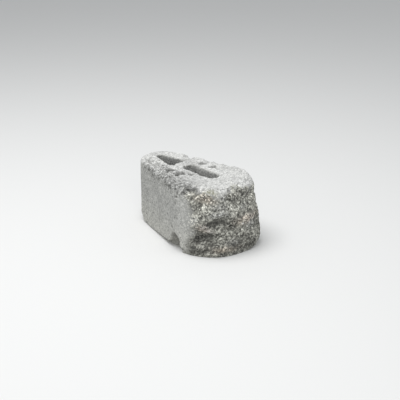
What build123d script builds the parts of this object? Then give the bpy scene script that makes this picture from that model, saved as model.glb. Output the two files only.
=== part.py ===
from build123d import *

import math
import os

# Split-face retaining wall block, cast in one piece. Millimetres, +Z up.
# The split face looks along -Y, the round tail along +Y, and +X is right as seen from the front.
# The origin is under the middle of the block, on its bed.

# Overall sizes
block_height = 150.0
block_width = 200.0  # across the two front corners
block_depth = 330.0  # from the most forward point of the split face to the tail
tail_radius = 54.0

# Plan of the nose: the face follows an arc that stands this far ahead of its two corners
nose_rise = 67.0
corner_radius = 34.0
corner_setback = 10.0  # from the ends of that arc back to the widest part of the block
corner_lean_in = 8.0  # degrees that the side turns inward, ahead of its widest part

# Worn edges
top_edge_radius = 10.0
bed_edge = 4.0  # chamfer along the bed
core_rim = 3.0  # chamfer round the top of the two cores

# Cores, open from top to bed: the rear one narrows towards the tail, the front one is a straight slot
tail_wall = 35.0  # concrete behind the rear core
core_length = 72.0
core_width = 39.0  # across its front end
core_front_radius = 12.0
core_tail_radius = 9.0
web_between_cores = 28.0
slot_length = 105.0
slot_width = 29.0
slot_offset = 6.0  # how far to the right of the centre line the slot was cast
core_draft = 2.0  # how much narrower each wall of a core stands at the bed

# Arched recess in the foot of the left side, by the front corner
recess_width = 62.0
recess_height = 35.0
recess_depth = 14.0  # at its middle
recess_slant = 10.0  # degrees by which its back wall runs deeper towards the front
recess_setback = 12.0  # from the widest part of the block back to the middle of the recess
recess_cut = 42.0  # how far outward the cut for it runs, clear of the block

# Chips out of the right top edge: from the tail's end to the middle of the chip, radius, rise of its centre
edge_chips = ((82.0, 15.0, 4.0), (163.0, 14.0, 7.5), (189.0, 15.0, 9.0))

# Pits in the top, where the concrete did not fill the mould: x, y, radius, depth
top_pits = (
    (-42.0, 26.0, 10.0, 6.0),
    (-40.0, -7.0, 9.5, 7.0),
    (41.0, 20.0, 8.5, 5.0),
    (46.0, -13.0, 8.0, 5.0),
)

# Relief of the split face
face_lean = 20.0  # how much further forward the foot stands than the top edge
shoulder_height = 30.0  # the worn upper edge of the face
shoulder_depth = 11.0
foot_height = 22.0  # the worn lower edge of the face
foot_depth = 5.5
wear_power = 2.2
facet_angle = 26.0  # degrees from straight ahead to the upright arris between two facets
facet_depth = 1.5

# Brow: the ridge that crosses the face, highest at its crown and lower towards both sides
brow_rise = 6.0
brow_crown_angle = -6.0
brow_crown_height = 98.0
brow_drop = 40.0  # how far the brow falls over one brow_span
brow_span = 55.0  # degrees
brow_reach_above = 34.0
brow_reach_below = 17.0

# Single swellings and hollows: angle, height, reach in degrees, reach in mm, rise in mm
belly = (14.0, 58.0, 24.0, 28.0, 3.0)
right_belly = (48.0, 29.0, 24.0, 34.0, 12.0)
left_hollow = (-44.0, 45.0, 16.0, 17.0, -12.0)
left_knob = (-39.0, 67.0, 10.0, 11.0, 3.5)
low_scoop = (-18.0, 35.0, 15.0, 14.0, -3.0)
toe = (-24.0, 12.0, 18.0, 11.0, 2.5)
right_scoop = (15.0, 20.0, 12.0, 14.0, -2.5)
upper_ridge = (-17.0, 137.0, 9.0, 20.0, 3.0)
upper_scoop = (4.0, 122.0, 15.0, 18.0, -4.5)
lumps = (belly, right_belly, left_hollow, left_knob, low_scoop, toe, right_scoop, upper_ridge, upper_scoop)

# Grid of the face's surface, which runs past the block on every side
face_reach = 100.0  # degrees
arc_overrun = 4.0  # degrees past its two corners at which the arc ends and the face runs on straight
face_margin = 12.0
columns = 32
rows = 16
surface_tolerance = 0.5

node_name = "wall_block"

nose_radius = (block_width**2 / 4 + nose_rise**2) / (2 * nose_rise)
arc_limit = math.degrees(math.asin(block_width / 2 / nose_radius)) + arc_overrun


def bump(distance, reach):
    """A smooth rise that is 1 at no distance and fades out past its reach."""
    return math.exp(-((distance / reach) ** 2))


def worn_edge(depth_in, height, depth):
    """Setback of a worn edge, at a point this far inside the band that it takes up."""
    return depth * (max(0.0, depth_in) / height) ** wear_power


def facet(angle):
    """Setback of the flats between upright arrises, nothing on an arris itself."""
    return facet_depth * math.cos(math.pi * angle / (2 * facet_angle)) ** 2


def brow(angle, height):
    """The ridge across the face, gentle above its crest and steep below it."""
    crest = brow_crown_height - brow_drop * ((angle - brow_crown_angle) / brow_span) ** 2
    above = height - crest
    return brow_rise * bump(above, brow_reach_above if above > 0 else brow_reach_below)


def lump(angle, height, shape):
    at_angle, at_height, reach_angle, reach_height, rise = shape
    return rise * bump(angle - at_angle, reach_angle) * bump(height - at_height, reach_height)


def face_relief(angle, height):
    """How far the face stands out from the nose's arc."""
    lean = face_lean * (1 - height / block_height) * math.cos(math.radians(angle)) ** 2
    worn = worn_edge(height - block_height + shoulder_height, shoulder_height, shoulder_depth)
    worn += worn_edge(foot_height - height, foot_height, foot_depth)
    relief = brow(angle, height) - facet(angle)
    relief += sum(lump(angle, height, shape) for shape in lumps)
    calm = 1 - (abs(angle) / arc_limit) ** 3  # the face is quieter towards its corners
    return lean + relief * calm - worn


def face_point(angle, height):
    """A point of the split face from the nose's centre; past the arc's ends the face runs on straight."""
    turn = max(-arc_limit, min(arc_limit, angle))
    radius = nose_radius + face_relief(turn, height)
    beyond = nose_radius * math.radians(angle - turn)
    sine = math.sin(math.radians(turn))
    cosine = math.cos(math.radians(turn))
    return Vector(radius * sine + beyond * cosine, beyond * sine - radius * cosine, height)


def face_grid():
    angles = [face_reach * (2 * i / columns - 1) for i in range(columns + 1)]
    rise = block_height + 2 * face_margin
    heights = [rise * j / rows - face_margin for j in range(rows + 1)]
    return [[face_point(angle, height) for height in heights] for angle in angles]


grid = face_grid()
# The most forward point on the block itself settles where the nose's centre lies
forward = min(p.Y for line in grid for p in line if 0 <= p.Z <= block_height)
nose_centre = Vector(0, -block_depth / 2 - forward)
corner_back = nose_rise - nose_radius + corner_setback
corner_centre = nose_centre + Vector(block_width / 2 - corner_radius, corner_back)
tail_centre = Vector(0, block_depth / 2 - tail_radius)


def heading(degrees):
    return Vector(math.cos(math.radians(degrees)), math.sin(math.radians(degrees)))


def side_bearing():
    """Direction, in degrees from +X, in which the flat right side faces: it touches both rounded ends."""
    to_corner = corner_centre - tail_centre
    swing = math.degrees(math.acos((tail_radius - corner_radius) / to_corner.length))
    return math.degrees(math.atan2(to_corner.Y, to_corner.X)) + swing


side_faces = side_bearing()


def mirrored(point):
    return Vector(-point.X, point.Y)


def plan_outline():
    """Tail, sides and corners of the block, with a square front that the split face cuts away."""
    tail_end = tail_centre + heading(side_faces) * tail_radius
    arc_back = corner_centre + heading(side_faces) * corner_radius
    arc_middle = corner_centre + heading((side_faces - corner_lean_in) / 2) * corner_radius
    arc_front = corner_centre + heading(-corner_lean_in) * corner_radius
    front = -block_depth / 2 - face_margin
    taper = (arc_front.Y - front) * math.tan(math.radians(corner_lean_in))
    front_corner = Vector(arc_front.X - taper, front)
    with BuildSketch() as sketch:
        with BuildLine():
            Line(tail_end, arc_back)
            ThreePointArc(arc_back, arc_middle, arc_front)
            Polyline(arc_front, front_corner, mirrored(front_corner), mirrored(arc_front))
            ThreePointArc(mirrored(arc_front), mirrored(arc_middle), mirrored(arc_back))
            Line(mirrored(arc_back), mirrored(tail_end))
            ThreePointArc(mirrored(tail_end), (0, block_depth / 2), tail_end)
        make_face()
    return sketch.sketch


def blank():
    """The block before it is split, with its worn edges."""
    body = extrude(plan_outline(), block_height)
    body = fillet(body.faces().sort_by(Axis.Z)[-1].edges(), top_edge_radius)
    return chamfer(body.faces().sort_by(Axis.Z)[0].edges(), bed_edge)


def split_off():
    """Everything ahead of the split face."""
    surface = Face.make_surface_from_array_of_points(
        [[nose_centre + p for p in line] for line in grid], tol=surface_tolerance
    )
    return extrude(surface, block_depth, dir=(0, -1, 0))


def wrapped(circles, shrink):
    """The outline that wraps round circles, each given as x, y and radius and shrunk alike."""
    with BuildSketch() as sketch:
        for x, y, radius in circles:
            with Locations((x, y)):
                Circle(radius - shrink)
        make_hull()
    return sketch.sketch


def core(circles):
    """A core with this outline at the top, drawn in towards the bed."""
    mouth = Pos(0, 0, block_height) * wrapped(circles, 0)
    foot = wrapped(circles, core_draft)
    return loft([mouth, foot])


def rear_core():
    rear_end = block_depth / 2 - tail_wall
    front_corner = core_width / 2 - core_front_radius
    front = rear_end - core_length + core_front_radius
    tail = (0, rear_end - core_tail_radius, core_tail_radius)
    return core([tail, (-front_corner, front, core_front_radius), (front_corner, front, core_front_radius)])


def front_slot():
    radius = slot_width / 2
    rear_end = block_depth / 2 - tail_wall - core_length - web_between_cores
    front_end = rear_end - slot_length
    return core([(slot_offset, rear_end - radius, radius), (slot_offset, front_end + radius, radius)])


def recess():
    """A low arched pocket in the left side, open at the bed, with a slanting back wall."""
    outward = mirrored(heading(side_faces))
    along = Vector(outward.Y, -outward.X)
    middle = mirrored(corner_centre) + outward * (corner_radius - recess_depth) + along * recess_setback
    back_wall = Plane(origin=middle, x_dir=along, z_dir=outward).rotated((0, -recess_slant, 0))
    with BuildSketch(back_wall) as sketch:
        Ellipse(recess_width / 2, recess_height)
    return extrude(sketch.sketch, recess_cut)


def edge_chip(setback, radius, rise):
    """A shallow bite out of the top edge of the right side."""
    outward = heading(side_faces)
    along = Vector(-outward.Y, outward.X)
    tail_end = tail_centre + outward * tail_radius
    back = (block_depth / 2 - setback - tail_end.Y) / along.Y
    edge = tail_end + along * back
    return Pos(edge.X, edge.Y, block_height + rise) * Sphere(radius)


def top_pit(x, y, radius, depth):
    """A round dish in the top."""
    ball = (radius**2 + depth**2) / (2 * depth)
    return Pos(x, y, block_height + ball - depth) * Sphere(ball)


def wall_block():
    block = blank() - split_off() - rear_core() - front_slot()
    rims = block.faces().filter_by(GeomType.PLANE).sort_by(Axis.Z)[-1].inner_wires()
    block = chamfer([edge for rim in rims for edge in rim.edges()], core_rim)
    damage = [edge_chip(*chip) for chip in edge_chips] + [top_pit(*pit) for pit in top_pits]
    return block - recess() - damage


os.makedirs("parts", exist_ok=True)
block = wall_block()
export_step(block, f"parts/{node_name}.step")
size = block.bounding_box().size
print(f"{node_name}: {size.X:.1f} x {size.Y:.1f} x {size.Z:.1f} mm, {block.volume / 1e6:.3f} litres")
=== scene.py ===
import math

import bpy
import numpy as np
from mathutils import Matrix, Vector


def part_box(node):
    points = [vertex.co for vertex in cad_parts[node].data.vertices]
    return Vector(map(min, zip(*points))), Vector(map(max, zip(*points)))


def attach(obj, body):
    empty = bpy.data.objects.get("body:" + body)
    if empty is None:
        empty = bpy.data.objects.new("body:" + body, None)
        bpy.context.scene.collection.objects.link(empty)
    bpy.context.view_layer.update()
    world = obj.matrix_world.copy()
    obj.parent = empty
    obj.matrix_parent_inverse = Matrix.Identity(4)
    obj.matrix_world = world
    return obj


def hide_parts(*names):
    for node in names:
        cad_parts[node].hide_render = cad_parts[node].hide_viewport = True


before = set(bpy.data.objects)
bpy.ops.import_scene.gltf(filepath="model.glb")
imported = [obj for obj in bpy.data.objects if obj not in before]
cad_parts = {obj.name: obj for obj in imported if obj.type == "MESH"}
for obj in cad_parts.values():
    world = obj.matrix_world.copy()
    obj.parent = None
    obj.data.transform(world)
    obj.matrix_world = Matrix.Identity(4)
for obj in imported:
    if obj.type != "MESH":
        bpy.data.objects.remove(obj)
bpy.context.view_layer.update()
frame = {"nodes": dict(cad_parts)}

mm = 0.001
print("frame loaded, nodes:", ", ".join(frame["nodes"]))

# Noise, worked out on whole arrays of points
wordMask = 0xFFFFFFFF  # keeps a hash to 32 bits
cellPrimes = (73856093, 19349663, 83492791)
seedPrime = 2654435761
farOff = 1e9  # a distance that anything real is nearer than


# one pseudo-random number from 0 to 1 for each cell: its whole numbers times primes, stirred bit by bit
def cellHash(cell, seed):
    cell = cell.astype(np.int64)
    x, y, z = (cell[..., axis] * cellPrimes[axis] for axis in range(3))
    h = (x ^ y ^ z ^ (seed * seedPrime & wordMask)) & wordMask
    h = ((h ^ (h >> 15)) * 2246822519) & wordMask
    h = ((h ^ (h >> 13)) * 3266489917) & wordMask
    return (h ^ (h >> 16)) / wordMask


# smooth noise: the hashes at the eight corners of a point's cell, eased and mixed, from -1 to 1
def softNoise(points, size, seed):
    place = points / size
    cell = np.floor(place)
    part = place - cell
    ease = part**3 * (part * (part * 6 - 15) + 10)
    total = np.zeros(len(points))
    for corner in np.ndindex(2, 2, 2):
        step = np.array(corner)
        weight = np.prod(np.where(step == 1, ease, 1 - ease), axis=1)
        total += weight * cellHash(cell + step, seed)
    return total * 2 - 1


# layered noise: each layer is half the size and a share of the height of the one before
def layers(points, size, count, seed, share=0.5):
    total = np.zeros(len(points))
    height = 1.0
    for layer in range(count):
        total += height * softNoise(points, size / 2**layer, seed + layer * 17)
        height *= share
    return total


# scattered grains: distance to the nearest of one random point a cell, in cells, and that cell's own number
def grains(points, size, seed):
    place = points / size
    cell = np.floor(place)
    nearest = np.full(len(points), farOff)
    number = np.zeros(len(points))
    for offset in np.ndindex(3, 3, 3):
        other = cell + np.array(offset) - 1
        centre = other + np.stack([cellHash(other, seed + k) for k in (1, 2, 3)], axis=1)
        distance = np.linalg.norm(place - centre, axis=1)
        closer = distance < nearest
        nearest = np.where(closer, distance, nearest)
        number = np.where(closer, cellHash(other, seed + 4), number)
    return nearest, number


# a bell: 1 in the middle, about a third at one reach from it
def bump(distance, reach):
    return np.exp(-((distance / reach) ** 2))


# 0 below low, 1 above high, eased between
def rise(value, low, high):
    t = np.clip((value - low) / (high - low), 0, 1)
    return t * t * (3 - 2 * t)


# The block: sizes in millimetres, angles in degrees from straight ahead, left negative
lowCorner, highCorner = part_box("wall_block")
block = dict(
    width=(highCorner[0] - lowCorner[0]) / mm,
    depth=(highCorner[1] - lowCorner[1]) / mm,
    height=(highCorner[2] - lowCorner[2]) / mm,
    tailRadius=54.0,
    noseRise=67.0,
    cornerRadius=34.0,
    cornerSetback=10.0,
    cornerLeanIn=8.0,
    cornerBlend=14.0,  # how softly the split face runs into the sides
    splitBlend=18.0,  # how far ahead of the sides the face is fully broken
    faceEnds=88.0,  # past this angle there is no split face
    topEdge=10.0,
    bedEdge=5.0,
    rim=4.0,
    tailWall=35.0,
    coreLength=72.0,
    coreWidth=39.0,
    coreFrontRadius=12.0,
    coreTailRadius=9.0,
    web=28.0,
    slotLength=105.0,
    slotWidth=29.0,
    slotOffset=6.0,
    coreDraft=2.0,
    evenNormals=12,  # passes that even out the directions in which the roughness moves the skin
    lipPasses=40,  # passes that round the top edge of the split face
)

splitFace = dict(
    lean=20.0,
    shoulderHeight=30.0,
    shoulderDepth=11.0,
    footHeight=22.0,
    footDepth=5.5,
    wearPower=2.2,
    facetAngle=26.0,
    facetDepth=1.5,
    browRise=6.0,
    browCrown=(-6.0, 98.0),
    browDrop=40.0,
    browSpan=55.0,
    browReach=(34.0, 17.0),  # above and below its crest
    # angle, height, reach in degrees, reach in millimetres, rise
    lumps=[
        (14.0, 58.0, 24.0, 28.0, 3.0), (48.0, 29.0, 24.0, 34.0, 12.0),
        (-44.0, 45.0, 16.0, 17.0, -12.0), (-39.0, 67.0, 10.0, 11.0, 3.5),
        (-18.0, 35.0, 15.0, 14.0, -3.0), (-24.0, 12.0, 18.0, 11.0, 2.5),
        (15.0, 20.0, 12.0, 14.0, -2.5), (-17.0, 137.0, 9.0, 20.0, 3.0),
        (4.0, 122.0, 15.0, 18.0, -4.5),
    ],
)

# Foot of the left side, broken in: steep towards the front, running out along the bed edge towards the tail
footRecess = dict(
    # behind the corner, how high it is broken there
    crown=[
        (-30, 0), (-17, 15), (-14, 32), (-7, 38), (4, 41), (12, 39),
        (18, 31), (26, 15), (36, 10), (48, 8), (150, 3),
    ],
    # behind the corner, how deep
    depth=[(-30, 0), (-15, 16), (20, 20), (28, 14), (38, 11), (50, 10), (66, 7), (150, 2)],
    begins=(-34, -26),
    runsOut=(120, 150),
    edge=3.0,  # how softly the broken edge rounds over
    ragged=(10.0, 2.2),  # size and height of the waver in that edge
    raggedFrom=(6, 20),  # crowns lower than this have a straight edge
    roughness=(8.0, 2.2, 0.6),  # size and height of the broken lumps inside, and how far they are sunk
    roofShade=(15, 30),  # heights between which painted shadow darkens it under its roof
    brokenFrom=(5, 12),  # depths between which it begins to look broken
    brokenTone=0.4,  # how far it looks like the split face
)

# Left foot of the tail, worn in: its bearing from +X, its reach in degrees, and how it fades upwards
tailWear = dict(bearing=143.0, reach=20.0, height=18.0, depth=10.0, fade=1.5)

gridStep = dict(
    noseColumns=241,
    frontSide=50,
    rearSide=35,
    tail=62,
    webLine=48,
    wallRows=100,
    edgeRows=8,
    rimRows=6,
    coreRows=22,
    cornerLines=9,  # lines that wrap round a front corner
    coreLines=120,  # lines that wrap round a core
    topRows=(46, 30),  # round the slot and round the rear core
    bedRows=(6, 5),
)

half = block["width"] / 2
noseRadius = (half**2 + block["noseRise"] ** 2) / (2 * block["noseRise"])
arcEnd = math.degrees(math.asin(half / noseRadius))
arcLimit = arcEnd + 4  # the relief dies out a little past the arc's end
grazing = 0.05  # a line that a ray meets flatter than this is left out


# how far the split face stands out from the nose's arc: lean, brow, lumps and flats, less its worn edges
def faceRelief(angle, height):
    f = splitFace
    angle = np.clip(angle, -arcLimit, arcLimit)
    lean = f["lean"] * (1 - height / block["height"]) * np.cos(np.radians(angle)) ** 2
    upShoulder = np.maximum(0, height - block["height"] + f["shoulderHeight"]) / f["shoulderHeight"]
    downFoot = np.maximum(0, f["footHeight"] - height) / f["footHeight"]
    worn = f["shoulderDepth"] * upShoulder ** f["wearPower"] + f["footDepth"] * downFoot ** f["wearPower"]
    crest = f["browCrown"][1] - f["browDrop"] * ((angle - f["browCrown"][0]) / f["browSpan"]) ** 2
    over = height - crest
    relief = f["browRise"] * bump(over, np.where(over > 0, f["browReach"][0], f["browReach"][1]))
    relief = relief - f["facetDepth"] * np.cos(np.pi * angle / (2 * f["facetAngle"])) ** 2
    for atAngle, atHeight, reachAngle, reachHeight, lumpRise in f["lumps"]:
        relief = relief + lumpRise * bump(angle - atAngle, reachAngle) * bump(height - atHeight, reachHeight)
    calm = 1 - (np.abs(angle) / arcLimit) ** 3
    return lean + relief * calm - worn


# how far back the nose's centre lies, so that the face's foremost point just reaches the block's front
def noseCentre():
    angle, height = np.meshgrid(np.linspace(-60, 60, 121), np.linspace(0, block["height"], 76))
    forward = (noseRadius + faceRelief(angle, height)) * np.cos(np.radians(angle))
    return -block["depth"] / 2 + forward.max()


noseY = noseCentre()
widestY = noseY - noseRadius + block["noseRise"]
cornerCentre = np.array([half - block["cornerRadius"], widestY + block["cornerSetback"]])
tailY = block["depth"] / 2 - block["tailRadius"]


# way the flat right side faces, in degrees from +X: it touches the corner's and the tail's circles
def sideBearing():
    toCorner = cornerCentre - np.array([0, tailY])
    swing = math.acos((block["tailRadius"] - block["cornerRadius"]) / np.hypot(*toCorner))
    return math.degrees(math.atan2(toCorner[1], toCorner[0]) + swing)


sideFaces = sideBearing()
sideNormal = np.array([math.cos(math.radians(sideFaces)), math.sin(math.radians(sideFaces))])
sideReach = sideNormal @ cornerCentre + block["cornerRadius"]


# levels of the walls: heights and how far the sides stand in there, round at the top edge and at the bed edge
def wallLevels():
    turn = np.linspace(0, np.pi / 2, gridStep["edgeRows"])
    bed = block["bedEdge"]
    top = block["topEdge"]
    bedHeights = bed * (1 - np.sin(turn[::-1]))
    bedInsets = bed * (1 - np.cos(turn[::-1]))
    middle = np.linspace(bed, block["height"] - top, gridStep["wallRows"])[1:-1]
    topHeights = block["height"] - top + top * np.sin(turn)
    topInsets = top * (1 - np.cos(turn))
    heights = np.concatenate([bedHeights, middle, topHeights])
    return heights, np.concatenate([bedInsets, 0 * middle, topInsets])


# distance from the nose's centre to the rounded corner and side: the nearest of a fan of lines that touch it
def sideDistance(angle, inset):
    outward = np.abs(np.radians(angle))
    ray = np.stack([np.sin(outward), -np.cos(outward)])
    nearest = np.full(np.broadcast(angle, inset).shape, farOff)
    for bearing in np.linspace(-block["cornerLeanIn"], sideFaces, gridStep["cornerLines"]):
        normal = np.array([math.cos(math.radians(bearing)), math.sin(math.radians(bearing))])
        reach = normal @ (cornerCentre - np.array([0, noseY])) + block["cornerRadius"] - inset
        facing = normal[0] * ray[0] + normal[1] * ray[1]
        along = np.where(facing > grazing, reach / np.maximum(facing, grazing), farOff)
        nearest = np.minimum(nearest, along)
    return nearest


# the smaller of two distances, rounded off where they meet
def softLeast(a, b, blend):
    mix = np.clip(0.5 + 0.5 * (b - a) / blend, 0, 1)
    return b * (1 - mix) + a * mix - blend * mix * (1 - mix)


# a column of the nose's wall: from the nose's centre out to the split face or the side, whichever is nearer
def noseColumns(heights, insets):
    angle = np.linspace(-90, 90, gridStep["noseColumns"])[None, :]
    nose = np.where(np.abs(angle) < block["faceEnds"], noseRadius + faceRelief(angle, heights), farOff)
    stretch = np.maximum(0, np.abs(angle) - arcLimit)
    nose = nose / np.cos(np.radians(np.minimum(stretch, 60)))  # past the arc's end the face runs on straight
    side = sideDistance(angle, insets)
    reach = softLeast(nose, side, block["cornerBlend"])
    split = rise(side - nose, 0, block["splitBlend"])
    x = reach * np.sin(np.radians(angle))
    y = noseY - reach * np.cos(np.radians(angle))
    return x, y, split


# the flat right side: where its straight line, moved in by the inset, lies at each depth
def sideColumns(insets, depths):
    x = (sideReach - insets - sideNormal[1] * depths[None, :]) / sideNormal[0]
    return x, depths[None, :] + 0 * x


# the tail's arc, worn in at its left foot
def tailColumns(heights, insets):
    bearing = np.linspace(sideFaces, 180 - sideFaces, gridStep["tail"])[None, :]
    upward = np.clip(1 - heights / tailWear["height"], 0, 1) ** tailWear["fade"]
    worn = upward * bump(bearing - tailWear["bearing"], tailWear["reach"])
    radius = block["tailRadius"] - np.maximum(insets, tailWear["depth"] * worn)
    return radius * np.cos(np.radians(bearing)), tailY + radius * np.sin(np.radians(bearing))


coreRear = block["depth"] / 2 - block["tailWall"]
coreFront = coreRear - block["coreLength"]
slotRear = coreFront - block["web"]
slotFront = slotRear - block["slotLength"]
webY = slotRear + block["web"] / 2
coreCorner = block["coreWidth"] / 2 - block["coreFrontRadius"]
slotRadius = block["slotWidth"] / 2

# the circles that each core's outline wraps round: x, y, radius
rearCoreCircles = [
    (0.0, coreRear - block["coreTailRadius"], block["coreTailRadius"]),
    (-coreCorner, coreFront + block["coreFrontRadius"], block["coreFrontRadius"]),
    (coreCorner, coreFront + block["coreFrontRadius"], block["coreFrontRadius"]),
]
slotCircles = [
    (block["slotOffset"], slotRear - slotRadius, slotRadius),
    (block["slotOffset"], slotFront + slotRadius, slotRadius),
]


# pushes the foot of the left side in, under a broken arch: crown and depth are read off along the side
def pressRecess(points):
    f = footRecess
    outward = np.array([-sideNormal[0], sideNormal[1]])
    along = np.array([outward[1], -outward[0]])
    corner = np.array([-cornerCentre[0], cornerCentre[1]])
    fromCorner = (points[..., :2] - corner) @ along
    aside = (points[..., :2] - corner) @ outward
    roundCorner = block["cornerRadius"] * np.arctan2(fromCorner, np.maximum(aside, 1))
    place = np.where(fromCorner < 0, roundCorner, fromCorner)
    crown = np.interp(place, *np.transpose(f["crown"]), right=0)
    depth = np.interp(place, *np.transpose(f["depth"]), right=0)
    size, height = f["ragged"]
    ragged = height * layers(points.reshape(-1, 3), size, 3, seed=301).reshape(place.shape)
    ragged = ragged * rise(crown, *f["raggedFrom"])
    inside = 1 - rise(points[..., 2] - crown + ragged, -f["edge"], 1)
    inside = inside * (aside > 0) * rise(place, *f["begins"])
    inside = inside * (1 - rise(place, *f["runsOut"]))
    pushed = points.copy()
    push = np.maximum(0, aside - block["cornerRadius"] + depth) * inside
    pushed[..., :2] -= push[..., None] * outward
    return pushed, inside * rise(depth, *f["brokenFrom"])


# the outer wall as one ring of columns, anticlockwise from the rear right: tail, left side, nose, right side
def outerWall():
    heights, insets = wallLevels()
    heights = heights[:, None]
    insets = insets[:, None]
    tailStart = tailY + (block["tailRadius"] - block["topEdge"]) * sideNormal[1]
    lastY = tailStart - 2  # the sides end just short of the tail's arc
    frontDepths = np.linspace(noseY, webY, gridStep["frontSide"])
    rearDepths = np.linspace(webY, lastY, gridStep["rearSide"])
    depths = np.concatenate([frontDepths[1:], rearDepths[1:]])
    tx, ty = tailColumns(heights, insets)
    sx, sy = sideColumns(insets, depths)
    nx, ny, split = noseColumns(heights, insets)
    x = np.concatenate([tx, -sx[:, ::-1], nx, sx], axis=1)
    y = np.concatenate([ty, sy[:, ::-1], ny, sy], axis=1)
    z = np.broadcast_to(heights, x.shape)
    splitMask = np.concatenate([0 * tx, 0 * sx, split, 0 * sx], axis=1)
    wall, recess = pressRecess(np.stack([x, y, z], axis=-1))
    leftWeb = gridStep["tail"] + gridStep["rearSide"] - 1
    rightWeb = leftWeb + 2 * (gridStep["frontSide"] - 1) + gridStep["noseColumns"] - 1
    return wall, splitMask, recess, leftWeb, rightWeb


# for each point of a cell's edge, the way out to it from the nearest point of the core's middle line
def coreRays(edge, circles):
    rear = max(circles, key=lambda c: c[1])
    front = min(circles, key=lambda c: c[1])
    axis = np.stack([np.full(len(edge), rear[0]), np.clip(edge[:, 1], front[1], rear[1])], axis=1)
    ray = edge[:, :2] - axis
    return axis, ray / np.linalg.norm(ray, axis=1, keepdims=True)


# how far out along its ray a core's outline lies: the nearest of a fan of lines that touch the circles
def coreReach(axis, ray, circles, grow):
    bearing = np.radians(np.arange(gridStep["coreLines"]) * (360 / gridStep["coreLines"]))
    normal = np.stack([np.cos(bearing), np.sin(bearing)], axis=1)
    touch = np.max([normal @ np.array(c[:2]) + c[2] for c in circles], axis=0)
    gap = touch[:, None] + grow - normal @ axis.T
    facing = normal @ ray.T
    return np.min(np.where(facing > grazing, gap / np.maximum(facing, grazing), farOff), axis=0)


# a flat ring from a core's rim out to a cell's edge: straight lines from each rim point to its edge point
def flatRing(rim, edge, rows):
    t = np.linspace(0, 1, rows)[:, None, None]
    return rim[None] * (1 - t) + edge[None] * t


# a core's wall: its rim is a quarter round, then it draws in evenly down to the bed
def coreWall(axis, ray, circles):
    turn = np.linspace(np.pi / 2, 0, gridStep["rimRows"])
    top = block["height"]
    rim = block["rim"]
    down = np.linspace(top - rim, 0, gridStep["coreRows"])[1:]
    heights = np.concatenate([top - rim + rim * np.sin(turn), down])
    grow = np.concatenate([rim * (1 - np.cos(turn)), -block["coreDraft"] * (1 - down / top)])
    reach = np.stack([coreReach(axis, ray, circles, step) for step in grow])
    flat = axis[None] + ray[None] * reach[..., None]
    upright = np.broadcast_to(heights[:, None, None], flat.shape[:2] + (1,))
    return np.concatenate([flat, upright], axis=-1)


# quads between neighbouring rows and columns of a grid that closes on itself sideways
def ringQuads(rows, columns, start, flip):
    index = start + np.arange(rows * columns).reshape(rows, columns)
    beside = np.roll(index, -1, axis=1)
    quads = np.stack([index[:-1], beside[:-1], beside[1:], index[1:]], axis=-1).reshape(-1, 4)
    return quads[:, ::-1] if flip else quads


# How far each kind of wear and of painted shade reaches, in millimetres
wearAndShadeReach = dict(
    wallRim=(134, 147),  # heights between which the walls turn into the worn top edge
    lip=7.0,  # the rounded lip of the split face
    topRim=(9.0, 4.0),  # in from the top edge, and how much further behind the split face
    splitOver=6.0,  # how far the split runs on over the top
    mouth=7.0,  # round a core's mouth
    mouthDown=(4, 16),  # and down into it
    coreShade=(0, 10),  # depth over which a core's wall turns dark with painted shade
    slotShade=0.52,  # how dark the slot's painted shade is, with a fully dark wall as 1
    # how dark the rear core's painted shade is
    rearCoreShade=0.8,
)


# all the grids of the block, with what part of it each point belongs to
def blockGrids():
    w = wearAndShadeReach
    wall, split, recess, leftWeb, rightWeb = outerWall()
    rim = rise(wall[..., 2], *w["wallRim"])
    lip = split * bump(wall[..., 2] - block["height"], w["lip"])
    grids = [dict(points=wall, flip=False, split=split, recess=recess, rim=rim, lip=lip)]
    columns = wall.shape[1]
    across = np.linspace(0, 1, gridStep["webLine"] + 2)[1:-1, None]
    frontColumns = np.arange(leftWeb, rightWeb + 1)
    rearColumns = np.arange(rightWeb, leftWeb + columns + 1) % columns
    cores = [(frontColumns, slotCircles, w["slotShade"]), (rearColumns, rearCoreCircles, w["rearCoreShade"])]
    for core, (chosen, circles, tone) in enumerate(cores):
        level = {}
        for name, row in (("top", -1), ("bed", 0)):
            edge = wall[row, chosen]
            web = edge[-1] * (1 - across) + edge[0] * across
            level[name] = np.concatenate([edge, web])
        axis, ray = coreRays(level["top"], circles)
        hole = coreWall(axis, ray, circles)
        top = flatRing(hole[0], level["top"], gridStep["topRows"][core])
        bed = flatRing(hole[-1], level["bed"], gridStep["bedRows"][core])
        onEdge = np.concatenate([np.ones(len(chosen)), np.zeros(len(across))])
        edgeSplit = np.concatenate([split[-1, chosen], np.zeros(len(across))])
        fromEdge = np.linalg.norm(top - top[-1:], axis=-1)
        fromHole = np.linalg.norm(top - top[:1], axis=-1)
        near = onEdge * bump(fromEdge, w["topRim"][0] + w["topRim"][1] * edgeSplit)
        mouth = bump(fromHole, w["mouth"])
        lip = onEdge * edgeSplit * bump(fromEdge, w["lip"])
        worn = edgeSplit * np.exp(-fromEdge / w["splitOver"])
        grids.append(dict(points=top, flip=True, split=worn, top=1.0, rim=near, lip=lip, mouth=mouth))
        down = block["height"] - hole[..., 2]
        below = rise(down, *w["coreShade"])
        mouth = 1 - rise(down, *w["mouthDown"])
        # painted shade: a core's wall darkens with depth
        grids.append(dict(points=hole, flip=False, core=below, shade=tone * below, mouth=mouth))
        grids.append(dict(points=bed, flip=False, bed=1.0))
    return grids


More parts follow.
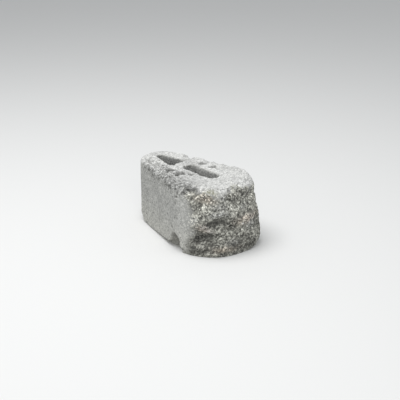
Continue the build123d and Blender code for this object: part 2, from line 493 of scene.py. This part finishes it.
# joins the grids into one closed skin: points that share a place become one, with the larger of their marks
def weldGrids(grids):
    points = np.concatenate([g["points"].reshape(-1, 3) for g in grids])
    marks = {}
    for name in ("split", "recess", "top", "core", "shade", "bed", "rim", "lip", "mouth"):
        parts = [np.broadcast_to(g.get(name, 0.0), g["points"].shape[:2]).reshape(-1) for g in grids]
        marks[name] = np.concatenate(parts)
    quads = []
    start = 0
    for g in grids:
        rows, columns = g["points"].shape[:2]
        quads.append(ringQuads(rows, columns, start, g["flip"]))
        start += rows * columns
    quads = np.concatenate(quads)
    places = np.round(points, 4)
    _, first, inverse = np.unique(places, axis=0, return_index=True, return_inverse=True)
    inverse = inverse.reshape(-1)
    merged = {}
    for name, values in marks.items():
        largest = np.zeros(len(first))
        np.maximum.at(largest, inverse, values)
        merged[name] = largest
    return points[first], inverse[quads], merged


# for each point, the sum of what the faces around it hold
def sumAround(faceValues, quads, count):
    around = quads.ravel()
    gathered = [np.bincount(around, np.repeat(faceValues[:, axis], 4), count) for axis in range(3)]
    return np.stack(gathered, axis=1)


# rounds a sharp edge off: each point moves its share of the way to the mean of the faces around it
def evenOut(points, quads, share, passes):
    faceCount = np.bincount(quads.ravel(), minlength=len(points))[:, None]
    for step in range(passes):
        middles = sumAround(points[quads].mean(axis=1), quads, len(points)) / faceCount
        points = points + share[:, None] * (middles - points)
    return points


# each point's outward direction: the sum of the face directions around it, evened out over its neighbours
def pointNormals(points, quads):
    a, b, c, d = (points[quads[:, k]] for k in range(4))
    directions = np.cross(c - a, d - b)
    for step in range(1 + block["evenNormals"]):
        normals = sumAround(directions, quads, len(points))
        normals = normals / np.maximum(np.linalg.norm(normals, axis=1, keepdims=True), 1e-9)
        directions = normals[quads].mean(axis=1)
    return normals


# Roughness of the concrete, in millimetres: sizes and heights of its grain, and each pit and chip by place
rough = dict(
    hackle=(30.0, 2.3, 0.4),  # size and height of its ridges, and how far they are sunk
    hackleAlong=(0.55, 0.20, 0.28),  # the ridges run up to the right
    hackleAcross=(-0.55, 0.20, 1.15),
    hackleBack=0.8,
    lumps=(13.0, 1.3),
    stones=(6.4, 1.2),
    stoneReach=0.75,  # how much of its cell a stone fills
    stoneShares=(0.55, 0.75),  # stones up to the first share stand out, those past the second were pulled out
    pulledDepth=0.9,
    sand=(3.6, 0.7),
    proud=(1.5, 0.25),  # of what stands out further than the first, this share stays
    topWorn=(128, 149, 0.5),  # between these heights the face loses this share of its relief
    frontRoom=(5.0, 2.0),  # this near the block's front, the face is held back by up to this much
    # size and height, and how far it is sunk
    castSkin=(9.0, 0.28, 0.9),
    coreCrumble=(9.0, 1.5, 0.5),
    # size, depth, share of cells that have one
    topPores=(5.2, 1.0, 0.30),
    sidePores=(13.0, 1.2, 0.32),
    honeycomb=(7.5, 3.6, 0.55),  # open holes along the left top edge
    sidePoreReach=0.17,
    honeycombPores=0.35,  # more pores in the top there
    pitWaver=(9.0, 0.45),  # size and share of the waver in the edges of pits and chips
    pitFloor=(5.0, 0.25),
    hollowDarkening=(0.3, 5.0),  # depth at which the broken face begins to darken with dirt and painted shade, and depth over which they fill a hollow
    calmBed=(-1, 5),  # heights between which the roughness sets in, so that the bed stays flat
    # share of a chip's depth that darkens it with dirt and painted shade
    chipDarkening=0.35,
    # size and height of what crumbled off, how much of the edge it takes, and the most at one place
    edgeLoss=(20.0, 2.0, 0.1, 1.3),
    lipLoss=(26.0, 4.5, 0.2, 1.4),  # along the top of the split face
    lipSpared=(25, 55, 0.8),  # from angle to angle it loses this much less
    mouthLoss=(15.0, 2.6, 0.3, 1.2),
    # x, y, z, radius, depth
    pits=[
        (-42, 26, 150, 12.5, 10.0), (-40, -7, 150, 13, 11.0), (-25, -25, 150, 8, 8.0),
        (41, 20, 150, 10, 8.0), (46, -13, 150, 9.5, 8.0), (-72, -18, 149, 6, 4.0),
        (-77, -81, 149, 6, 4.0), (-84, -89, 149, 6, 5.0), (-92, -87, 137, 5, 4.0),
        (-75, -103, 148, 6, 4.5), (-88, -88, 144, 4, 3.0), (-80, -97, 146, 4, 3.0),
        (-95, -48, 50, 4, 2.5), (-60, 5, 150, 4, 2.4), (-57, -34, 150, 4, 2.2),
        (-33, 52, 150, 5, 2.6), (50, -34, 150, 13, 1.8), (2, -101, 150, 5, 1.6),
        (-42, 111, 150, 9, 2.4), (27, 66, 150, 7, 3.0),
    ],
    chips=[
        (58, 82, 148, 17, 7.0), (66, 26, 151, 14, 3.4), (74, 2, 151, 14, 2.6),
        (80, -24, 151, 14, 2.2), (-52, 72, 149, 10, 3.0), (-97, -60, 2, 12, 4.0),
        (-96, -84, 0, 14, 3.0),
    ],
)

# Marks on the split face: angle, height, reach in degrees, reach in millimetres, amount
faceMarks = dict(
    # grime and dark broken patches, and painted shade: under the brow, in the hollow low on the left, in the
    # small grooves and pits, and on the upper right
    grime=[
        (-40, 44, 11, 11, 1.1), (-32, 46, 7, 7, 0.6), (-48, 33, 6, 8, 0.7), (-58, 21, 5, 6, 0.7),
        (-44, 55, 5, 6, 0.5), (-35, 74, 3, 3, 0.2), (-29, 77, 4, 3, 0.5), (-24, 76, 3.5, 3.5, 0.5),
        (-18, 78, 4.5, 4.5, 0.5), (-12, 76, 5, 5, 0.5), (-17, 71, 12, 7, 0.4), (-56, 29, 6, 8, 0.8),
        (-46, 12, 8, 7, 0.7), (20, 15, 8, 9, 0.75), (22, 136, 7, 9, 0.4), (-51, 94, 7, 9, 0.4),
        (-60, 90, 6, 30, 0.15), (-50, 64, 3.5, 3, 0.8), (-60, 148, 3.5, 4, 0.9),
        (-56, 141, 5, 6, 0.6), (-38, 132, 9, 9, 0.3), (-50, 147, 3.5, 3, 0.8),
        (-63, 137, 3.5, 4, 0.7), (-8, 142, 2, 3, 0.7), (8, 135, 2.5, 3, 0.8),
        (14, 127, 2.5, 3, 0.7), (-8, 124, 3, 3, 0.6), (-2, 116, 3, 3, 0.5), (16, 110, 3, 4, 0.5),
        (-47, 106, 3, 3, 0.5), (-54, 115, 3, 3, 0.4), (13, 124, 13, 12, 0.3), (16, 28, 12, 12, 0.3),
        (-54, 14, 10, 8, 0.3),
    ],
    # pale patches of the concrete, and painted light on the shaded underside of the brow and on the belly
    pale=[
        (-18, 139, 5, 12, 1.3), (-21, 146, 6, 5, 1.0), (-42, 149, 3, 4, 1.0), (-39, 67, 6, 6, 1.0),
        (-34, 59, 4, 3, 0.9), (-46, 85, 3, 4, 0.6), (-21, 109, 9, 11, 0.55), (-26, 94, 9, 6, 0.7),
        (-16, 95, 7, 6, 0.5), (18, 66, 9, 14, 0.8), (-5, 27, 7, 8, 0.55), (8, 103, 4, 6, 0.7),
        (10, 80, 16, 9, 0.35),
    ],
    warm=[
        (-40, 132, 10, 10, 0.7), (-31, 126, 7, 8, 0.6), (4, 73, 12, 9, 1.0), (14, 78, 10, 10, 0.7),
        (30, 76, 11, 8, 0.6), (-21, 17, 12, 7, 1.0), (-6, 15, 10, 6, 0.6), (-41, 66, 7, 8, 1.0),
        (-35, 58, 6, 5, 0.6),
    ],
    moss=[(-28, 142, 6, 4, 1.0), (-33, 144, 5, 4, 0.7)],
    quartz=[
        (5, 67, 1.2, 1.6, 1.0), (-34, 58, 1.2, 1.5, 0.9), (-30, 56, 1.0, 1.3, 0.7),
        (-50, 124, 0.9, 1.3, 0.7), (-22, 111, 0.9, 1.3, 0.7), (-46, 85, 0.9, 1.2, 0.6),
        (-42, 149, 1.2, 1.5, 0.8),
    ],
)

# Grooves and small pits that the split left, and one swelling: angle, height, reaches as above, depth
faceGrooves = [
    (-35, 74, 4, 3.5, 2.5), (-29, 77, 4, 3, 2.0), (-24, 76, 3, 4, 1.6), (-18, 79, 4, 4, 2.4),
    (-12, 77, 4, 4, 2.0), (-21, 94, 8, 8, -3.0), (-50, 64, 3.5, 3.5, 3.0), (8, 135, 2.5, 3, 3.0),
    (14, 127, 2.5, 3, 2.5), (-8, 143, 2, 3, 2.5), (-8, 124, 3, 3, 2.5), (-60, 147, 3, 4, 3.0),
    (-50, 147, 3, 4, 2.5),
]


# a mark's strength over the face: the sum of its spots, each fading out round its middle
def markStrength(points, spots):
    angle = noseAngle(points)
    total = np.zeros(len(points))
    for atAngle, atHeight, reachAngle, reachHeight, amount in spots:
        total += amount * bump(angle - atAngle, reachAngle) * bump(points[:, 2] - atHeight, reachHeight)
    return total


# angle of a point round the nose's centre, in degrees from straight ahead
def noseAngle(points):
    return np.degrees(np.arctan2(points[:, 0], noseY - points[:, 1]))


# Zones of the top, in millimetres: how far in from the left edge each is whole, and over what it fades
topZones = dict(
    honeycombIn=(12, 30),
    honeycombFront=(-130, -85),
    honeycombRear=(90, 150),
    honeycombHeight=(120, 146),
    weatheredIn=(15, 50),
    weatheredRear=(-30, 20),
    weatheredHeight=(125, 146),
    webPatch=(27, 43, 22, 24, 0.7),  # right of the slot's rear end: x, y, reach each way, strength
)


# 1 along the top's left edge, fading inwards
def leftEdgeZone(points, whole, fade):
    edgeX = -(sideReach - sideNormal[1] * points[:, 1]) / sideNormal[0]
    return bump(np.maximum(points[:, 0] - edgeX - whole, 0), fade)


# where the left half of the top was poorly filled: strongest along its edge, fading in towards the cores
def honeycombZone(points):
    t = topZones
    along = rise(points[:, 1], *t["honeycombFront"]) * (1 - rise(points[:, 1], *t["honeycombRear"]))
    return leftEdgeZone(points, *t["honeycombIn"]) * along * rise(points[:, 2], *t["honeycombHeight"])


# where the top is weathered darker: along its left edge towards the front, and in the patch by the web
def weatheredZone(points):
    t = topZones
    front = leftEdgeZone(points, *t["weatheredIn"]) * (1 - rise(points[:, 1], *t["weatheredRear"]))
    x, y, reachX, reachY, strength = t["webPatch"]
    patch = strength * bump(points[:, 0] - x, reachX) * bump(points[:, 1] - y, reachY)
    return np.maximum(front, patch) * rise(points[:, 2], *t["weatheredHeight"])


# The smooth strip left at each front corner, in degrees of the nose, and how far down the top's wear comes
strips = dict(
    # height, width of the left strip
    left=[(5, -4), (20, -2), (34, 8), (48, 20), (85, 16), (110, 13.5), (137, 4)],
    right=8.0,
    fade=9.0,
    waverSize=13.0,
    waver=(4.0, 9.0),  # of the strip's edge in degrees, and of the worn lip's edge in millimetres
    lipHeight=149.0,  # of the worn lip on the left
    lipDip=(-30.0, 20.0, 3.0),  # angle, reach and depth of a dip in it
    lipDrop=(0, 40, 12.0),  # from angle to angle it comes down by this much
    lipFade=(14.0, 3.0),  # below and above
    lipPale=(-12, 0),  # from below its height up to it, the face turns as pale as the top
    splitPower=0.2,  # the smaller, the sooner the broken tone, and the marks, begin at the corners
    markPower=0.3,
)


# height down to which the top edge is worn smooth: lower towards the right
def lipHeight(angle):
    s = strips
    dipAngle, dipReach, dip = s["lipDip"]
    dropFrom, dropTo, drop = s["lipDrop"]
    return s["lipHeight"] - dip * bump(angle - dipAngle, dipReach) - drop * rise(angle, dropFrom, dropTo)


# where the face shows its broken inside: past the smooth strip at each corner and under the worn top edge
def brokenTone(points, split):
    s = strips
    ragged = layers(points, s["waverSize"], 4, seed=231, share=0.6)
    angle = noseAngle(points)
    leftStrip = np.interp(points[:, 2], *np.transpose(s["left"]))
    strip = np.where(angle < 0, leftStrip, s["right"])
    inside = arcEnd - np.abs(angle) + s["waver"][0] * ragged
    pastStrip = rise(inside, strip - s["fade"], strip + s["fade"])
    wornTo = lipHeight(angle)
    upward = points[:, 2] + s["waver"][1] * ragged
    worn = rise(upward, wornTo - s["lipFade"][0], wornTo + s["lipFade"][1])
    return split ** s["splitPower"] * pastStrip * (1 - worn)


# open pores: the middles of a share of scattered cells, pressed in
def pores(points, size, seed, share, reach=0.62):
    nearest, number = grains(points, size, seed)
    return np.clip(1 - (nearest / reach) ** 2, 0, 1) * (number < share)


# relief of the broken face: hackle ridges, lumps, stones standing out or pulled out, sand, and grooves
def brokenRelief(points):
    r = rough
    lengthwise = points @ np.array(r["hackleAlong"])
    crosswise = points @ np.array(r["hackleAcross"])
    slanted = np.stack([lengthwise, crosswise, points[:, 1] * r["hackleBack"]], axis=1)
    hackle = 1 - 2 * np.abs(layers(slanted, r["hackle"][0], 3, seed=11))
    lumps = layers(points, r["lumps"][0], 2, seed=31)
    nearest, number = grains(points, r["stones"][0], seed=51)
    stoneShape = np.sqrt(np.clip(1 - (nearest / r["stoneReach"]) ** 2, 0, 1))
    proudShare, pulledShare = r["stoneShares"]
    pulled = -r["pulledDepth"] * stoneShape * (number > pulledShare)
    stones = np.where(number < proudShare, stoneShape, pulled)
    sand = layers(points, r["sand"][0], 2, seed=71)
    relief = r["hackle"][1] * (hackle - r["hackle"][2]) + r["lumps"][1] * lumps
    relief = relief + r["stones"][1] * stones + r["sand"][1] * sand
    most, stays = r["proud"]
    relief = np.minimum(relief, most + stays * np.maximum(relief - most, 0))
    wornFrom, wornTo, wornShare = r["topWorn"]
    relief = relief * (1 - wornShare * rise(points[:, 2], wornFrom, wornTo))
    near, back = r["frontRoom"]
    room = (points[:, 1] + block["depth"] / 2) / near
    return relief - back * np.clip(1 - room, 0, 1) - markStrength(points, faceGrooves)


# hollows in the cast faces, and how far they are darkened with dirt and painted shade: pits and chips as worn
# spheres, holes and pores
def castHollows(points, marks):
    r = rough
    zone = honeycombZone(points)
    waverSize, waver = r["pitWaver"]
    wobble = 1 + waver * layers(points, waverSize, 3, seed=111, share=0.6)
    pits = np.zeros(len(points))
    chips = np.zeros(len(points))
    for spots, hollows in ((r["pits"], pits), (r["chips"], chips)):
        for x, y, z, radius, depth in spots:
            distance = np.linalg.norm(points - np.array([x, y, z]), axis=1) * wobble
            np.maximum(hollows, depth * np.sqrt(np.clip(1 - (distance / radius) ** 2, 0, 1)), out=hollows)
    floorSize, floorHeight = r["pitFloor"]
    hollows = pits * (1 + floorHeight * layers(points, floorSize, 2, seed=121))
    size, depth, share = r["honeycomb"]
    hollows = np.maximum(hollows, depth * pores(points, size, 131, share * zone))
    topLike = np.maximum(marks["top"], marks["rim"])
    size, depth, share = r["topPores"]
    topPores = pores(points, size, 171, share + r["honeycombPores"] * zone)
    hollows = np.maximum(hollows, topLike * depth * topPores)
    size, depth, share = r["sidePores"]
    sidePores = pores(points, size, 191, share, r["sidePoreReach"])
    hollows = np.maximum(hollows, (1 - topLike) * (1 - marks["core"]) * depth * sidePores)
    return np.maximum(hollows, chips), np.maximum(hollows, r["chipDarkening"] * chips)


# what has crumbled off an edge: layered noise of a size and height, cut off below nothing and at the most
def crumbled(points, loss, count, seed, share=0.5):
    size, height, taken, most = loss
    return height * np.clip(taken + layers(points, size, count, seed, share), 0, most)


# lumps that lie a share of their height under the surface
def sunkLumps(points, grain, seed, share=0.5):
    size, height, sunk = grain
    return height * (layers(points, size, 3, seed, share) - sunk)


# how far each point moves along its normal, and how dark it is painted there: dirt and shade in hollows, and
# shadow under the broken-in foot's roof
def surfaceRoughness(points, marks):
    r = rough
    split = marks["split"]
    broken = brokenRelief(points)
    hollows, dirtAndShadeDepths = castHollows(points, marks)
    skin = sunkLumps(points, r["castSkin"], seed=91)
    crumble = sunkLumps(points, r["coreCrumble"], seed=211)
    recessRough = sunkLumps(points, footRecess["roughness"], seed=151, share=0.65)
    edgeLoss = crumbled(points, r["edgeLoss"], 3, seed=251)
    lipLoss = crumbled(points, r["lipLoss"], 4, seed=291, share=0.65)
    fromAngle, toAngle, spared = r["lipSpared"]
    lipLoss = lipLoss * (1 - spared * rise(noseAngle(points), fromAngle, toAngle))
    mouthLoss = crumbled(points, r["mouthLoss"], 3, seed=271)
    smooth = 1 - split
    holed = np.maximum(smooth, honeycombZone(points))
    cast = skin + marks["recess"] * recessRough + marks["core"] * crumble
    move = split * broken + smooth * cast - holed * hollows
    move = move - marks["rim"] * (edgeLoss + split**0.5 * lipLoss) - marks["mouth"] * mouthLoss
    # painted shadow under the roof of the broken-in foot
    roofShade = marks["recess"] * rise(points[:, 2], *footRecess["roofShade"])
    begins, full = r["hollowDarkening"]
    # dirt and painted shade in the hollows of the broken face and in the pits, chips, holes and pores of the
    # cast faces
    hollow = split * np.clip((-broken - begins) / full, 0, 1) + holed * np.clip(dirtAndShadeDepths / full, 0, 1)
    calm = (1 - marks["bed"]) * rise(points[:, 2], *r["calmBed"])
    return move * calm, np.maximum(hollow, roofShade)


# writes what the finish reads, a number for each point
def paintMarks(mesh, points, marks, hollow):
    worn = rise(points[:, 2] - lipHeight(noseAngle(points)), *strips["lipPale"]) * marks["split"]
    attributes = dict(
        # painted shade down the core walls
        coreWall=marks["shade"],
        hollow=hollow,
        recess=marks["recess"],
        topFace=np.maximum(np.maximum(marks["top"], marks["rim"]), worn),
        honeycomb=honeycombZone(points),
        weathered=weatheredZone(points),
        broken=np.maximum(brokenTone(points, marks["split"]), footRecess["brokenTone"] * marks["recess"]),
    )
    for name, spots in faceMarks.items():
        strength = np.clip(markStrength(points, spots), 0, 1)
        attributes[name] = strength * marks["split"] ** strips["markPower"]
    for name, values in attributes.items():
        layer = mesh.attributes.new(name, "FLOAT", "POINT")
        layer.data.foreach_set("value", values.astype(np.float32))


# the skin: the welded grids, moved along their normals by the roughness and kept inside the CAD box
def makeBlock():
    points, quads, marks = weldGrids(blockGrids())
    points = evenOut(points, quads, marks["lip"], block["lipPasses"])
    normals = pointNormals(points, quads)
    move, hollow = surfaceRoughness(points, marks)
    moved = points + normals * move[:, None]
    moved[points[:, 2] < 1e-6, 2] = 0
    moved = np.clip(moved, np.array(lowCorner) / mm, np.array(highCorner) / mm)
    mesh = bpy.data.meshes.new("wallBlock")
    mesh.vertices.add(len(moved))
    mesh.vertices.foreach_set("co", (moved * mm).astype(np.float32).ravel())
    mesh.loops.add(quads.size)
    mesh.loops.foreach_set("vertex_index", quads.astype(np.int32).ravel())
    mesh.polygons.add(len(quads))
    mesh.polygons.foreach_set("loop_start", np.arange(0, quads.size, 4, dtype=np.int32))
    mesh.update(calc_edges=True)
    mesh.validate()
    mesh.polygons.foreach_set("use_smooth", np.ones(len(mesh.polygons), dtype=bool))
    paintMarks(mesh, points, marks, hollow)
    piece = bpy.data.objects.new("wallBlock", mesh)
    bpy.context.scene.collection.objects.link(piece)
    print("block skin:", len(moved), "points,", 2 * len(quads), "triangles")
    return piece


# Concrete: one finish, lighter and smoother on the cast faces, darker and grainy where it was split
concrete = dict(
    castPale=(0.515, 0.515, 0.49),
    castDull=(0.425, 0.425, 0.405),
    castFoot=(0.583, 0.578, 0.530),
    topPale=(0.66, 0.66, 0.64),
    topDull=(0.53, 0.53, 0.515),
    splitLight=(0.64, 0.637, 0.575),
    splitMid=(0.41, 0.405, 0.36),
    # painted shade of a core's wall, at full depth
    splitDark=(0.13, 0.128, 0.114),
    coreShadeColour=(0.245, 0.245, 0.238),
    warm=(1.05, 0.95, 0.89),  # tint of the brown patches
    moss=(0.36, 0.355, 0.25),
    quartz=(0.85, 0.84, 0.81),
    # dark of dirt and of painted shade, in pores and hollows
    dirtAndShade=(0.07, 0.069, 0.063),
    weathered=0.72,  # how much light the weathered parts of the top give back, as a share of the rest
    grime=0.36,  # the same for the grimy spots and the painted shade of the face
    pores=0.85,  # how dark the pores of the sides are
    roughness=0.92,
    specular=0.25,
    # how strongly the grain lightens and darkens each part
    grain=dict(cast=0.28, top=0.04, honeycomb=0.20, broken=0.40, core=0.1),
    # sizes of its patterns, in metres
    cloud=0.055,
    mottle=0.012,
    grit=0.0048,
    speck=0.0033,
    drag=0.007,
    sand=0.0029,
    stones=0.0066,
    poreCells=0.010,
    bump=(0.8, 0.0022),  # strength, and height in metres
)


# joins a socket to what comes out of another node, or sets it to a fixed number, size or colour
def link(tree, value, socket):
    if isinstance(value, bpy.types.NodeSocket):
        tree.links.new(value, socket)
    elif isinstance(value, tuple):
        socket.default_value = (*value, 1)[: len(socket.default_value)]
    else:
        socket.default_value = value


# what comes out of a new node of this kind, with its settings made and its inputs set or joined
def made(tree, kind, inputs, **settings):
    node = tree.nodes.new("ShaderNode" + kind)
    for name, value in settings.items():
        setattr(node, name, value)
    for name, value in inputs.items():
        link(tree, value, node.inputs[name])
    return node.outputs


# the finish: its colours are mixed by patterns and by the marks that each point carries
def concreteMaterial():
    c = concrete
    material = bpy.data.materials.new("castConcrete")
    material.use_nodes = True
    tree = material.node_tree
    place = made(tree, "TexCoord", {})["Object"]

    def marked(name):
        return made(tree, "Attribute", {}, attribute_name=name)["Fac"]

    def noise(size, detail, roughness, stretch=(1, 1, 1)):
        turned = made(tree, "Mapping", {"Vector": place, "Scale": stretch})["Vector"]
        pattern = {"Vector": turned, "Scale": 1 / size, "Detail": detail, "Roughness": roughness}
        return made(tree, "TexNoise", pattern)["Fac"]

    # cells of this size with wavering borders: one random number for each, and the distance to its middle
    def cells(size):
        waver = made(tree, "TexNoise", {"Vector": place, "Scale": 1.2 / size})["Color"]
        sums = {0: waver, 1: (size, size, size), 2: place}
        shifted = made(tree, "VectorMath", sums, operation="MULTIPLY_ADD")[0]
        cell = made(tree, "TexVoronoi", {"Vector": shifted, "Scale": 1 / size})
        return made(tree, "SeparateColor", {0: cell["Color"]})[0], cell["Distance"]

    def ranged(source, low, high, outLow=0.0, outHigh=1.0):
        ends = {"From Min": low, "From Max": high, "To Min": outLow, "To Max": outHigh}
        return made(tree, "MapRange", {"Value": source, **ends})["Result"]

    def times(a, b):
        return made(tree, "Math", {0: a, 1: b}, operation="MULTIPLY")[0]

    def plus(a, b):
        return made(tree, "Math", {0: a, 1: b}, operation="ADD")[0]

    def shared(a, b, share):
        return plus(times(a, share), times(b, 1 - share))

    def mixed(amount, first, second):
        return made(tree, "Mix", {"Factor": amount, "A": first, "B": second}, data_type="RGBA")["Result"]

    def tinted(colour, tint):
        return made(tree, "VectorMath", {0: colour, 1: tint}, operation="MULTIPLY")[0]

    def scaled(colour, factor):
        return made(tree, "VectorMath", {0: colour, "Scale": factor}, operation="SCALE")[0]

    broadly = marked("broken")
    hollow = marked("hollow")
    topFace = marked("topFace")
    honeycomb = marked("honeycomb")
    coreWallShade = marked("coreWall")
    cloud = noise(c["cloud"], 3, 0.55)
    mottle = noise(c["mottle"], 2, 0.6)
    grit = noise(c["grit"], 1, 0.5)
    speck = noise(c["speck"], 0, 0.5)
    drag = noise(c["drag"], 2, 0.5, (1, 1, 0.10))  # drawn out upwards, as the mould left it
    sandGrains = cells(c["sand"])[0]
    stoneGrains = cells(c["stones"])[0]
    poreNumber, poreDistance = cells(c["poreCells"])
    someCells = ranged(poreNumber, 0.45, 0.47, 0.0, c["pores"])
    darkPores = times(someCells, ranged(poreDistance, 0.12, 0.23, 1.0, 0.0))
    byGrain = ranged(sandGrains, 0.0, 1.0, -0.35, 0.35)
    split = ranged(plus(broadly, byGrain), 0.3, 0.7)  # the broken face begins grain by grain
    height = made(tree, "SeparateXYZ", {0: place})["Z"]
    footBand = ranged(height, 0.075, 0.015, 0.0, 0.7)

    # the cast faces
    side = mixed(ranged(shared(cloud, drag, 0.75), 0.38, 0.62), c["castDull"], c["castPale"])
    side = mixed(footBand, side, c["castFoot"])
    side = mixed(darkPores, side, c["dirtAndShade"])
    top = mixed(ranged(shared(cloud, mottle, 0.5), 0.36, 0.60), c["topDull"], c["topPale"])
    cast = mixed(topFace, side, top)
    cast = mixed(times(honeycomb, ranged(grit, 0.48, 0.64, 0.15, 0.6)), cast, c["splitDark"])
    cast = scaled(cast, ranged(marked("weathered"), 0.0, 1.0, 1.0, c["weathered"]))
    # painted shade down the core walls
    cast = mixed(coreWallShade, cast, c["coreShadeColour"])

    # the broken face
    stony = ranged(shared(grit, mottle, 0.5), 0.36, 0.54, 0.30, 1.0)
    broken = mixed(stony, c["splitDark"], c["splitMid"])
    paleGrains = times(ranged(sandGrains, 0.55, 1.0, 0.0, 0.9), ranged(mottle, 0.38, 0.62, 0.25, 1.0))
    broken = mixed(paleGrains, broken, c["splitLight"])
    # painted shade: the broken face darker towards its foot, which faces down, away from the light
    footShade = ranged(height, 0.01, 0.085, 0.78, 1.0)
    broken = scaled(broken, times(ranged(cloud, 0.38, 0.62, 0.86, 1.14), footShade))
    # pale patches, and painted light on the shaded underside of the brow and on the belly
    broken = mixed(times(marked("pale"), ranged(grit, 0.36, 0.50, 0.2, 0.9)), broken, c["topDull"])
    warmGrains = times(marked("warm"), ranged(stoneGrains, 0.1, 0.6, 0.6, 1.0))
    broken = mixed(warmGrains, broken, tinted(broken, c["warm"]))

    # both together, with their grain, what lies on them, and painted shade and light
    colour = mixed(split, cast, broken)
    colour = mixed(times(marked("moss"), ranged(sandGrains, 0.1, 0.9, 0.85, 0.2)), colour, c["moss"])
    strength = c["grain"]
    amount = plus(times(topFace, strength["top"]), times(honeycomb, strength["honeycomb"]))
    amount = plus(amount, plus(times(split, strength["broken"]), times(coreWallShade, strength["core"])))
    fine = ranged(sandGrains, 0.0, 1.0, 1 - strength["cast"], 1 + strength["cast"])
    swing = ranged(shared(sandGrains, stoneGrains, 0.65), 0.0, 1.0, -1.6, 1.6)
    colour = scaled(colour, plus(fine, times(swing, amount)))
    # grime, and painted shade under the brow and in the face's hollows and grooves
    colour = scaled(colour, ranged(marked("grime"), 0.0, 1.0, 1.0, c["grime"]))
    # dirt and painted shade in hollows, pits and chips, and painted shadow under the broken-in foot's roof
    colour = mixed(times(hollow, 0.75), colour, c["dirtAndShade"])
    # mottled darker patches inside the broken-in foot
    recessMottle = times(marked("recess"), ranged(mottle, 0.40, 0.60, 0.0, 0.2))
    colour = mixed(recessMottle, colour, c["splitDark"])
    colour = mixed(marked("quartz"), colour, c["quartz"])

    # its finest grain, and the shader
    coarser = ranged(plus(split, topFace), 0.0, 1.0, 0.45, 1.0)
    coarse = times(plus(times(grit, 0.6), times(speck, 0.5)), coarser)
    relief = plus(coarse, times(drag, 0.08))
    depth, distance = c["bump"]
    normal = made(tree, "Bump", {"Strength": depth, "Distance": distance, "Height": relief})["Normal"]
    finish = {"Base Color": colour, "Normal": normal, "Roughness": c["roughness"]}
    finish["Specular IOR Level"] = c["specular"]
    for name, value in finish.items():
        link(tree, value, tree.nodes["Principled BSDF"].inputs[name])
    print("concrete finish made with", len(tree.nodes), "nodes")
    return material


wallBlock = makeBlock()
wallBlock.data.materials.append(concreteMaterial())
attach(wallBlock, "root")
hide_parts("wall_block")

# Studio: pale floor, one broad light overhead to the left, a weak fill from the front
studio = dict(
    floorColour=(0.80, 0.80, 0.79),
    floorBounce=(0.50, 0.50, 0.49),  # duller in the light that it throws back than to the camera
    floorRoughness=0.9,
    floorSize=8.0,
    air=(0.86, 0.88, 0.90),
    airStrength=0.55,
    # name, place, size, watts
    lamps=[
        ("overhead", (-0.5, 0.2, 2.2), 1.6, 34.0),
        ("frontFill", (-1.3, -2.15, 1.3), 1.4, 15.0),
    ],
    lampTarget=(0, 0, 0.08),
)


# the air's light, the floor and the lamps
def makeStudio():
    world = bpy.data.worlds.new("studio")
    bpy.context.scene.world = world
    world.use_nodes = True
    air = world.node_tree.nodes["Background"]
    air.inputs["Color"].default_value = (*studio["air"], 1)
    air.inputs["Strength"].default_value = studio["airStrength"]
    side = studio["floorSize"] / 2
    mesh = bpy.data.meshes.new("floor")
    corners = [(-side, -side, 0), (side, -side, 0), (side, side, 0), (-side, side, 0)]
    mesh.from_pydata(corners, [], [(0, 1, 2, 3)])
    floor = bpy.data.objects.new("floor", mesh)
    bpy.context.scene.collection.objects.link(floor)
    paint = bpy.data.materials.new("paleFloor")
    paint.use_nodes = True
    tree = paint.node_tree
    shader = tree.nodes["Principled BSDF"]
    shader.inputs["Roughness"].default_value = studio["floorRoughness"]
    path = made(tree, "LightPath", {})
    seen = path["Is Camera Ray"]
    for kind in ("Is Glossy Ray", "Is Transmission Ray"):
        seen = made(tree, "Math", {0: seen, 1: path[kind]}, operation="MAXIMUM")[0]
    colours = {"Factor": seen, "A": studio["floorBounce"], "B": studio["floorColour"]}
    shade = made(tree, "Mix", colours, data_type="RGBA")["Result"]
    link(tree, shade, shader.inputs["Base Color"])
    mesh.materials.append(paint)
    for name, spot, size, watts in studio["lamps"]:
        data = bpy.data.lights.new(name, "AREA")
        data.shape = "DISK"
        data.size = size
        data.energy = watts
        lamp = bpy.data.objects.new(name, data)
        lamp.location = spot
        aim = Vector(studio["lampTarget"]) - Vector(spot)
        lamp.rotation_euler = aim.to_track_quat("-Z", "Y").to_euler()
        bpy.context.scene.collection.objects.link(lamp)
    bpy.context.scene.view_settings.view_transform = "Standard"
    print("studio lit by", len(studio["lamps"]), "lamps")


# Camera: where the photograph was taken from, worked out from the block's outline in it
view = dict(
    azimuth=37.183,
    pitch=21.857,
    distance=2.2854,
    target=(0, 0.007, 0),
    imageSize=400,  # pixels, as are the focal length and the offset of the target from the image's middle
    focal=1001.0,
    offset=(8.795, 30.464),
    sensor=36.0,
)


# the target lies off the image's middle, so the camera is aimed beside it
def makeCamera():
    a = math.radians(view["azimuth"])
    p = math.radians(view["pitch"])
    back = Vector((-math.sin(a) * math.cos(p), -math.cos(a) * math.cos(p), math.sin(p)))
    right = Vector((math.cos(a), -math.sin(a), 0))
    up = back.cross(right)
    aim = right * view["offset"][0] + up * view["offset"][1] - back * view["focal"]
    data = bpy.data.cameras.new("camera")
    data.sensor_width = view["sensor"]
    data.lens = view["sensor"] * view["focal"] / view["imageSize"]
    camera = bpy.data.objects.new("camera", data)
    camera.location = Vector(view["target"]) + back * view["distance"]
    camera.rotation_euler = aim.to_track_quat("-Z", "Y").to_euler()
    bpy.context.scene.collection.objects.link(camera)
    bpy.context.scene.camera = camera
    print("camera placed, lens", round(data.lens, 1), "mm")


makeStudio()
makeCamera()
